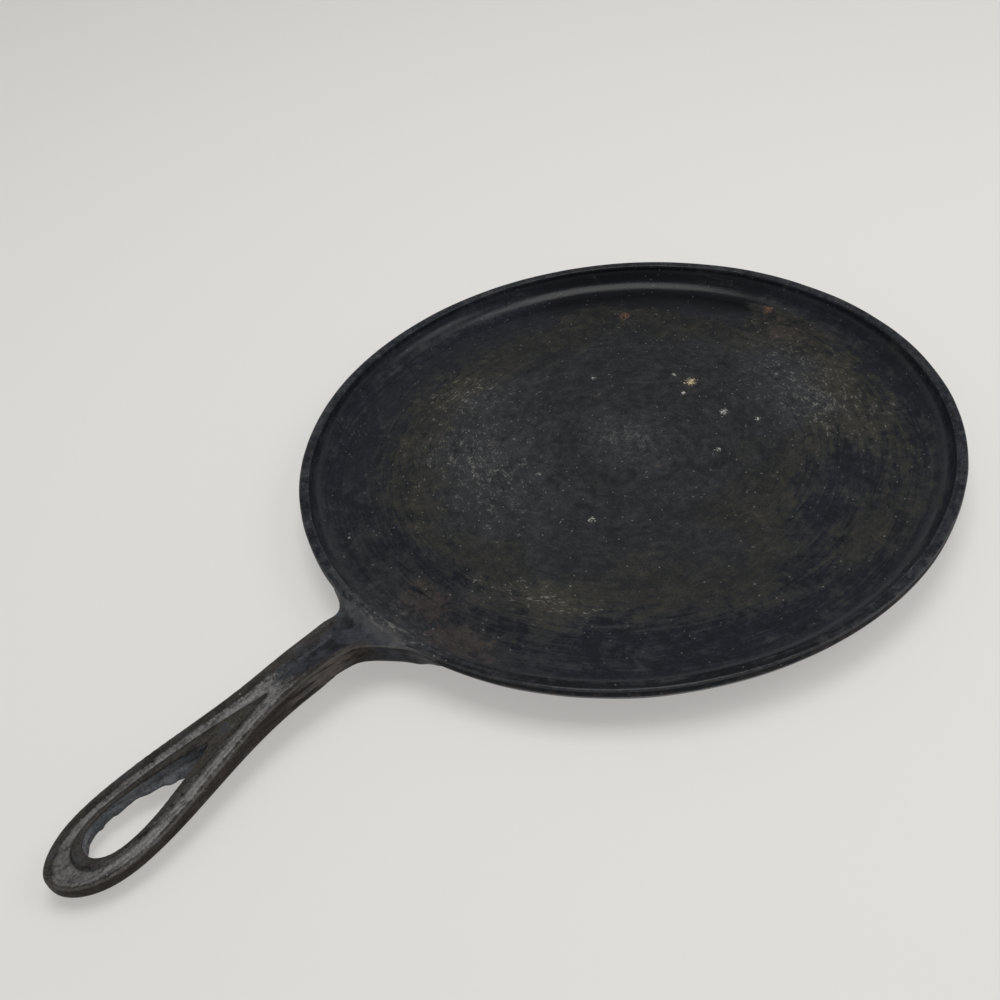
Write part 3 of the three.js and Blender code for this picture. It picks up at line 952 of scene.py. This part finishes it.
def make_base(soot):
    """The low ring that the pan stands on."""
    inner = BASE_RADIUS - BASE_RING_WIDTH
    path = np.array([
        (BASE_RADIUS, FLOOR_UNDER),
        (BASE_RADIUS, TABLE_TOP),
        (inner, TABLE_TOP),
        (inner, FLOOR_UNDER),
    ])
    points, quads = lathe(softened(path, BASE_EDGE_SOFTNESS, BASE_STEP))
    make_piece("griddle_base", points, quads, [soot], ["base_ring"], {})


def make_handle():
    """The arched, channelled loop handle."""
    points, quads = handle_mesh()
    height = points[:, 2]
    plan = np.stack([points[:, 0], -RIM_RADIUS - points[:, 1]], -1)
    across, out = plan.T
    inside, hole, bead, channel, top = handle_plan(plan)
    upper = 1 - smoothstep(top - height, *TOP_DEPTHS)
    right = smoothstep(across, *RIGHT_SIDE)
    seasoned = 1 - smoothstep(out, *SEASONED_ENDS)
    # On the right the pale colour reaches up the lip's inner slope, as painted light
    dust_and_light_from, dust_and_light_full = [lerp(*sides, right) for sides in zip(LEFT_DUST, RIGHT_DUST_AND_LIGHT)]
    dust_and_light_share = smoothstep(channel, dust_and_light_from, dust_and_light_full) * smoothstep(bead, *BEAD_DUST)
    # Painted shade along the parting line's step and at the foot of the bead
    below_line = crest_height(out) - height - parting_drop(out)
    parting_shade = np.exp(-(below_line / PARTING_WIDTH) ** 2) * (1 - smoothstep(out, *PARTING_ENDS))
    bead_crease_shade = BEAD_CREASE_SHADE * np.exp(-(bead / BEAD_CREASE_WIDTH) ** 2)
    attributes = {
        "upper": upper,
        # Painted light along the neck's sides
        "painted_side_light": smoothstep(out, *SIDE_LIGHT_BEGINS) * (1 - smoothstep(out, *SIDE_LIGHT_ENDS)),
        "dust_and_light": upper * dust_and_light_share * (1 - seasoned),
        "thin": smoothstep(out, *DUST_THINS),
        "film": np.maximum(upper * channel * seasoned, 1 - smoothstep(out, *ROOT_FILM_ENDS)),
        "rubbed": upper * (1 - smoothstep(out, *ROOT_RUB_ENDS)),
        "bore": (1 - smoothstep(hole, *BORE_DEPTHS)) * (1 - upper),
        # Rubbed wear and a painted highlight along the lips' top edges
        "edge": upper * (1 - smoothstep(inside, *EDGE_WIDTHS)),
        "crease_shade": lerp(parting_shade, bead_crease_shade, upper),
    }
    points = hand_cast(points)
    nodes = ["handle_neck", "handle_web", "handle_limb_left", "handle_limb_right", "handle_tip"]
    make_piece("griddle_handle", points, quads, [handle_iron()], nodes, attributes)


# The stage, the light and the camera, in metres and watts
TABLE_REACH = 40.0
TABLE_ROUGHNESS = 0.6
TABLE_GLOW_SHARE = 0.5
WALL_LIGHT = 1.0
CEILING_LIGHT = 0.34
WALL_TOP = 0.4
CAMERA_PLACE = (0.25860, -0.26525, 0.30592)
CAMERA_FORWARD = (-0.59872, 0.44790, -0.66402)
CAMERA_ROLL = -10.22
LENS_LENGTH = 37.8
SENSOR_WIDTH = 36


def make_stage():
    """A pale table. A share of its colour doesn't depend on the light, so that its shadows stay pale."""
    mesh = bpy.data.meshes.new("table")
    low, high, level = -TABLE_REACH, TABLE_REACH, TABLE_TOP * MM
    corners = [(low, low, level), (high, low, level), (high, high, level), (low, high, level)]
    mesh.from_pydata(corners, [], [(0, 1, 2, 3)])
    paint = bpy.data.materials.new("table_paint")
    paint.use_nodes = True
    nodes = Nodes(paint.node_tree)
    surface = nodes.tree.nodes["Principled BSDF"]
    surface.inputs["Base Color"].default_value = TABLE_PAINT
    surface.inputs["Roughness"].default_value = TABLE_ROUGHNESS
    glow = nodes.add("Emission")
    glow.inputs["Color"].default_value = TABLE_GLOW
    ray = nodes.add("LightPath").outputs
    mirrored = nodes.math("MAXIMUM", ray["Is Glossy Ray"], ray["Is Transmission Ray"])
    seen = nodes.math("MAXIMUM", ray["Is Camera Ray"], mirrored)
    blend = nodes.add("MixShader")
    nodes.feed(blend.inputs["Fac"], nodes.math("MULTIPLY", seen, TABLE_GLOW_SHARE))
    nodes.feed(blend.inputs[1], surface.outputs[0])
    nodes.feed(blend.inputs[2], glow.outputs[0])
    nodes.feed(nodes.tree.nodes["Material Output"].inputs["Surface"], blend.outputs[0])
    mesh.materials.append(paint)
    table = bpy.data.objects.new("table", mesh)
    bpy.context.scene.collection.objects.link(table)


def add_lamp(name, place, size, energy):
    """A square soft lamp that faces the middle of the pan."""
    lamp = bpy.data.lights.new(name, "AREA")
    lamp.size = size
    lamp.energy = energy
    holder = bpy.data.objects.new(name, lamp)
    holder.location = place
    holder.rotation_euler = Vector(place).to_track_quat("Z", "Y").to_euler()
    bpy.context.scene.collection.objects.link(holder)


def make_light():
    """A soft room, bright low down and dimmer higher up, with a broad lamp overhead and one to the side."""
    world = bpy.data.worlds.new("studio")
    world.use_nodes = True
    nodes = Nodes(world.node_tree)
    direction = nodes.add("SeparateXYZ")
    nodes.feed(direction.inputs[0], nodes.add("TexCoord").outputs["Generated"])
    climb = nodes.step(direction.outputs["Z"], 0.0, WALL_TOP)
    background = nodes.tree.nodes["Background"]
    nodes.feed(background.inputs["Strength"], nodes.between(climb, WALL_LIGHT, CEILING_LIGHT))
    background.inputs["Color"].default_value = ROOM
    bpy.context.scene.world = world
    add_lamp("overhead", place=(-0.06, 0.1, 1.3), size=0.7, energy=9.0)
    add_lamp("side", place=(0.66, 0.5, 0.85), size=0.5, energy=2.8)


def make_camera():
    """The photograph's viewpoint, as columns for right, up, back and place."""
    lens = bpy.data.cameras.new("camera")
    lens.lens = LENS_LENGTH
    lens.sensor_width = SENSOR_WIDTH
    camera = bpy.data.objects.new("camera", lens)
    forward = np.array(CAMERA_FORWARD)
    level = np.cross(forward, [0, 0, 1])
    level /= np.linalg.norm(level)
    above = np.cross(level, forward)
    roll = np.radians(CAMERA_ROLL)
    right = np.cos(roll) * level + np.sin(roll) * above
    up = np.cross(right, forward)
    columns = np.stack([right, up, -forward, CAMERA_PLACE], -1)
    camera.matrix_world = Matrix(np.vstack([columns, [0, 0, 0, 1]]).tolist())
    bpy.context.scene.collection.objects.link(camera)
    bpy.context.scene.camera = camera


plate = plate_iron()
soot = sooty_iron()
make_floor(plate, soot)
make_rim(plate)
make_base(soot)
make_handle()
make_stage()
make_light()
make_camera()
bpy.context.scene.view_settings.view_transform = "Standard"
